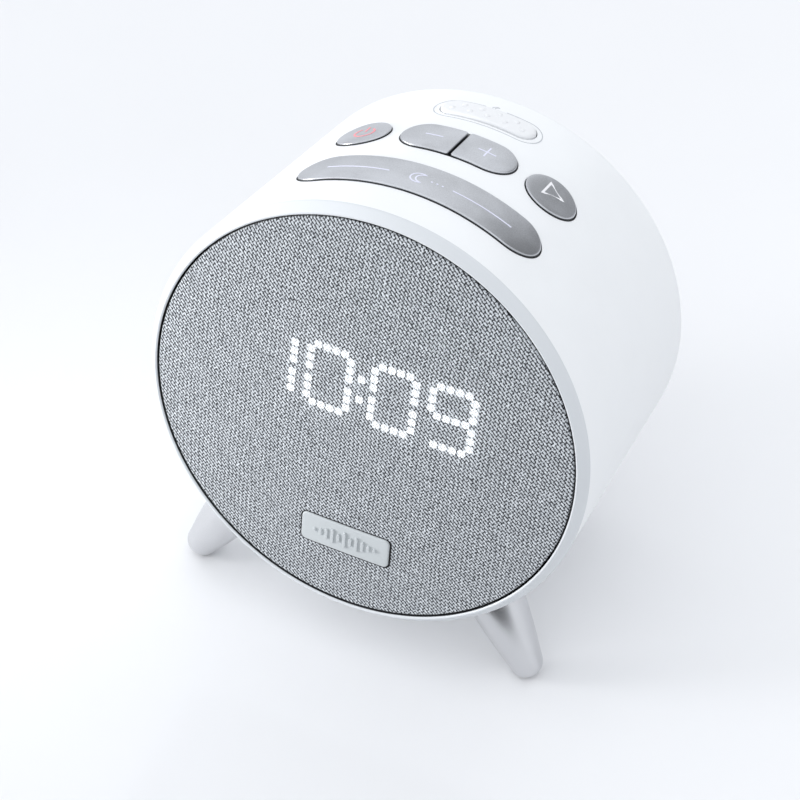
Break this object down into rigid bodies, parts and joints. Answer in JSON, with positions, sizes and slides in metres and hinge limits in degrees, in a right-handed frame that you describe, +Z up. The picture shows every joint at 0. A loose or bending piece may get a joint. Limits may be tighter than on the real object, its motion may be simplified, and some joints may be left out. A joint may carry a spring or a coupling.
{
  "type": "clock radio",
  "caption": "Round bedside clock radio: tapered white drum tilted back on splayed silver legs, cloth front with dotted LED time, metal top keys and sockets behind.",
  "frame": {"origin": "on the floor under the middle of the object's bounding box", "axes": "+Z up, the cloth front faces -Y and leans back, +X to the right seen from the front"},
  "size_m": [0.132, 0.107, 0.1437],
  "materials": {
    "white_shell": "fine satin moulded",
    "bezel_white": "satin moulded",
    "dark_plastic": "plain moulded",
    "grille_cloth": "heather grey fine weave",
    "badge_grey": "satin",
    "key_silver": "brushed satin",
    "key_white": "satin translucent",
    "leg_silver": "satin",
    "foot_rubber": "matt",
    "steel": "zinc plated",
    "brass_nut": "plain",
    "foam": "open cell foam",
    "ferrite": "ground ferrite",
    "cone_paper": "pressed pulp",
    "copper_coil": "lacquered copper wire",
    "spider_cloth": "resin-dipped cotton",
    "board_green": "solder mask",
    "led_glow": "lit emitter",
    "diffuser": "milky film",
    "contact_metal": "nickel plated",
    "print_ink": "pad printed"
  },
  "bodies": {
    "housing": {"main_shell": "white_shell", "front_bezel": "bezel_white", "grille_frame": "dark_plastic", "grille_cloth": "grille_cloth", "badge": "badge_grey", "rear_cover": "white_shell", "left_front_leg": "leg_silver", "right_front_leg": "leg_silver", "leg_pads": "foot_rubber", "leg_nuts": "brass_nut", "rear_foot": "foot_rubber", "cover_screws": "steel", "baffle_screws": "steel", "front_baffle": "dark_plastic", "speaker_gasket": "foam", "speaker_basket": "steel", "speaker_magnet": "ferrite", "speaker_yoke": "steel", "speaker_top_plate": "steel", "speaker_surround": "foam", "speaker_spider": "spider_cloth", "display_board": "board_green", "display_leds": "led_glow", "light_block": "dark_plastic", "display_diffuser": "diffuser", "main_board": "board_green", "main_board_parts": "dark_plastic", "radio_shield": "contact_metal", "antenna_strip": "copper_coil", "key_board": "board_green", "key_switches": "contact_metal", "night_light_leds": "led_glow", "power_inlet": "dark_plastic", "aux_jack": "dark_plastic", "usb_socket": "contact_metal", "slide_switch_body": "dark_plastic", "back_key_switches": "contact_metal", "cell_sleeve": "dark_plastic"},
    "power_button": {"power_key": "key_silver", "power_plunger": "dark_plastic"},
    "minus_button": {"minus_key": "key_silver", "minus_plunger": "dark_plastic"},
    "plus_button": {"plus_key": "key_silver", "plus_plunger": "dark_plastic"},
    "snooze_button": {"snooze_key": "key_silver", "snooze_plunger": "dark_plastic"},
    "play_button": {"play_key": "key_silver", "play_plunger": "dark_plastic"},
    "night_light_button": {"night_light_key": "key_white", "night_light_plunger": "dark_plastic"},
    "cone_unit": {"speaker_cone": "cone_paper", "dust_cap": "cone_paper", "voice_coil": "copper_coil"},
    "alarm_one_button": {"alarm_one_key": "white_shell"},
    "alarm_two_button": {"alarm_two_key": "white_shell"},
    "time_set_button": {"time_set_key": "white_shell"},
    "pairing_button": {"pairing_key": "white_shell"},
    "slide_knob": {"slide_switch_knob": "dark_plastic"},
    "drawer": {"cell_drawer": "white_shell", "coin_cell": "contact_metal"}
  },
  "joints": [
    {"name": "power_press", "type": "slide", "parent": "housing", "child": "power_button", "axis": [0, -0.225, -0.9744], "range_m": [0, 0.0008], "stiffness_N_per_m": 1200, "springref_m": -0.0005},
    {"name": "minus_press", "type": "slide", "parent": "housing", "child": "minus_button", "axis": [0, -0.225, -0.9744], "range_m": [0, 0.0008], "stiffness_N_per_m": 1200, "springref_m": -0.0005},
    {"name": "plus_press", "type": "slide", "parent": "housing", "child": "plus_button", "axis": [0, -0.225, -0.9744], "range_m": [0, 0.0008], "stiffness_N_per_m": 1200, "springref_m": -0.0005},
    {"name": "snooze_press", "type": "slide", "parent": "housing", "child": "snooze_button", "axis": [0, -0.225, -0.9744], "range_m": [0, 0.0008], "stiffness_N_per_m": 1500, "springref_m": -0.0005},
    {"name": "play_press", "type": "slide", "parent": "housing", "child": "play_button", "axis": [0, -0.225, -0.9744], "range_m": [0, 0.0008], "stiffness_N_per_m": 1200, "springref_m": -0.0005},
    {"name": "night_light_press", "type": "slide", "parent": "housing", "child": "night_light_button", "axis": [0, -0.225, -0.9744], "range_m": [0, 0.0008], "stiffness_N_per_m": 1200, "springref_m": -0.0005},
    {"name": "cone_stroke", "type": "slide", "parent": "housing", "child": "cone_unit", "axis": [0, 0.9744, -0.225], "range_m": [-0.001, 0.001], "stiffness_N_per_m": 1500, "deforming": ["speaker_surround", "speaker_spider"]},
    {"name": "alarm_one_press", "type": "slide", "parent": "housing", "child": "alarm_one_button", "axis": [0, -0.9744, 0.225], "range_m": [0, 0.0006], "stiffness_N_per_m": 1000, "springref_m": -0.0005},
    {"name": "alarm_two_press", "type": "slide", "parent": "housing", "child": "alarm_two_button", "axis": [0, -0.9744, 0.225], "range_m": [0, 0.0006], "stiffness_N_per_m": 1000, "springref_m": -0.0005},
    {"name": "time_set_press", "type": "slide", "parent": "housing", "child": "time_set_button", "axis": [0, -0.9744, 0.225], "range_m": [0, 0.0006], "stiffness_N_per_m": 1000, "springref_m": -0.0005},
    {"name": "pairing_press", "type": "slide", "parent": "housing", "child": "pairing_button", "axis": [0, -0.9744, 0.225], "range_m": [0, 0.0006], "stiffness_N_per_m": 1000, "springref_m": -0.0005},
    {"name": "slide_select", "type": "slide", "parent": "housing", "child": "slide_knob", "axis": [1, 0, 0], "range_m": [-0.002, 0.002]},
    {"name": "drawer_pull", "type": "slide", "parent": "housing", "child": "drawer", "axis": [0, 0.9744, -0.225], "range_m": [0, 0.03]}
  ]
}
